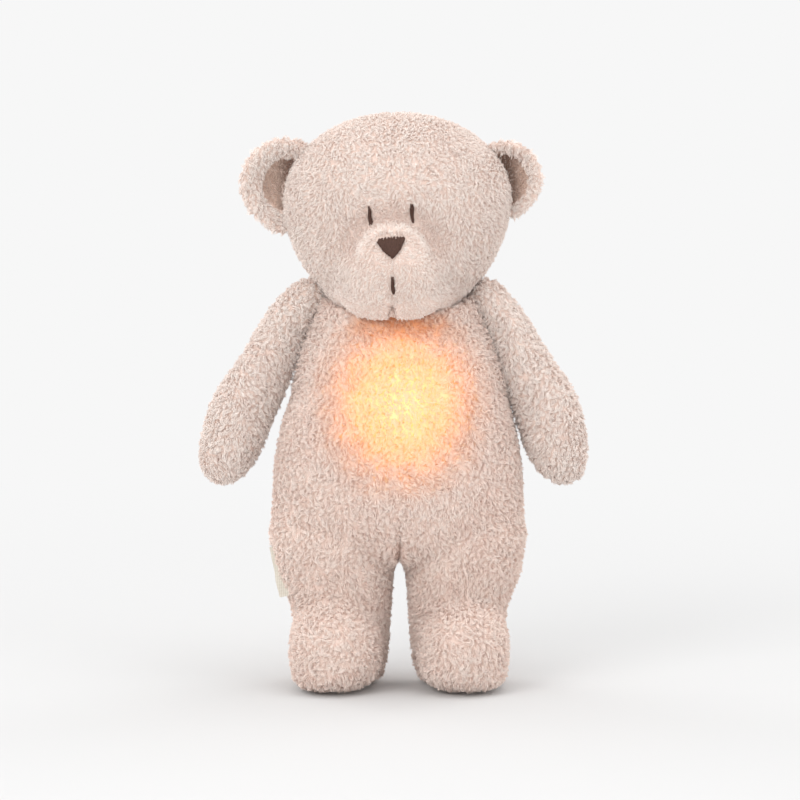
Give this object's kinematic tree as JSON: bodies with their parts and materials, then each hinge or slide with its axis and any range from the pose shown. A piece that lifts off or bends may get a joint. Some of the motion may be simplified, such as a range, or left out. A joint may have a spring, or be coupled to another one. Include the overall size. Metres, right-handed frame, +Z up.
{
  "type": "plush bear night light",
  "caption": "Standing plush bear night light: stuffed body, head and limbs, with a battery light unit in a chest pocket that comes out through a flap in the back.",
  "frame": {"origin": "on the floor, at the middle of the bear's extents", "axes": "+Z up, the bear faces -Y, +X on the right seen from the front"},
  "size_m": [0.245, 0.1239, 0.369],
  "materials": {
    "plush": "short matted plush",
    "plush_ear": "short matted plush, thinner in the ears",
    "thread": "satin stitched thread",
    "woven": "woven ribbon, blank",
    "lining": "thin woven lining",
    "hook_tape": "hook and loop tape",
    "case_plastic": "fine matt",
    "lens_plastic": "translucent satin",
    "door_plastic": "fine matt",
    "button_rubber": "soft matt",
    "board_green": "solder mask over glass laminate",
    "led_white": "phosphor under clear resin",
    "black_plastic": "moulded",
    "cell_steel": "plain unmarked sleeve",
    "contact_metal": "nickel plated",
    "screw_steel": "zinc plated"
  },
  "bodies": {
    "body": {"torso": "plush", "leg_left": "plush", "leg_right": "plush", "pocket_liner": "lining", "hook_strip": "hook_tape", "side_label": "woven"},
    "head_body": {"head": "plush", "ear_left": "plush_ear", "ear_right": "plush_ear", "eye_left": "thread", "eye_right": "thread", "nose": "thread", "mouth": "thread"},
    "arm_left_body": {"arm_left": "plush"},
    "arm_right_body": {"arm_right": "plush"},
    "flap_body": {"back_flap": "plush", "loop_strip": "hook_tape"},
    "unit_body": {"front_shell": "case_plastic", "rear_shell": "case_plastic", "light_diffuser": "lens_plastic", "led_board": "board_green", "main_board": "board_green", "led_1": "led_white", "led_2": "led_white", "led_3": "led_white", "led_4": "led_white", "tact_switch_light": "black_plastic", "tact_switch_sound": "black_plastic", "power_switch_body": "black_plastic", "speaker": "black_plastic", "battery_1": "cell_steel", "battery_2": "cell_steel", "battery_3": "cell_steel", "contact_plate_left": "contact_metal", "contact_plate_right": "contact_metal", "contact_spring_1": "contact_metal", "contact_spring_2": "contact_metal", "contact_spring_3": "contact_metal", "case_screw_1": "screw_steel", "case_screw_2": "screw_steel", "case_screw_3": "screw_steel", "case_screw_4": "screw_steel"},
    "door_body": {"battery_door": "door_plastic", "door_screw": "screw_steel"},
    "button_light_body": {"button_light": "button_rubber"},
    "button_sound_body": {"button_sound": "button_rubber"},
    "switch_body": {"power_switch_knob": "black_plastic"}
  },
  "joints": [
    {"name": "head_turn", "type": "hinge", "parent": "body", "child": "head_body", "pos_m": [0, 0.008, 0.2595], "axis": [0, 0, 1], "range_deg": [-20, 20], "stiffness_Nm_per_rad": 0.6},
    {"name": "arm_left_swing", "type": "hinge", "parent": "body", "child": "arm_left_body", "pos_m": [-0.05592, 0.008, 0.22764], "axis": [0.3567, 0, 0.9342], "range_deg": [-20, 25], "stiffness_Nm_per_rad": 0.05},
    {"name": "arm_right_swing", "type": "hinge", "parent": "body", "child": "arm_right_body", "pos_m": [0.05592, 0.008, 0.22764], "axis": [0.3567, 0, -0.9342], "range_deg": [-20, 25], "stiffness_Nm_per_rad": 0.05},
    {"name": "flap_lift", "type": "hinge", "parent": "body", "child": "flap_body", "pos_m": [0, 0.0502, 0.2311], "axis": [1, 0, 0], "range_deg": [0, 150]},
    {"name": "unit_pull", "type": "slide", "parent": "body", "child": "unit_body", "axis": [0, 1, 0], "range_m": [0, 0.0825]},
    {"name": "door_open", "type": "hinge", "parent": "unit_body", "child": "door_body", "pos_m": [0, 0.0151, 0.20565], "axis": [1, 0, 0], "range_deg": [0, 24]},
    {"name": "button_light_press", "type": "slide", "parent": "unit_body", "child": "button_light_body", "axis": [0, -1, 0], "range_m": [0, 0.001], "stiffness_N_per_m": 600},
    {"name": "button_sound_press", "type": "slide", "parent": "unit_body", "child": "button_sound_body", "axis": [0, -1, 0], "range_m": [0, 0.001], "stiffness_N_per_m": 600},
    {"name": "switch_slide", "type": "slide", "parent": "unit_body", "child": "switch_body", "axis": [1, 0, 0], "range_m": [0, 0.003]}
  ],
  "couplings": [
    {"joint": "unit_pull", "follows": "flap_lift", "m_per_rad": 0.0313}
  ]
}
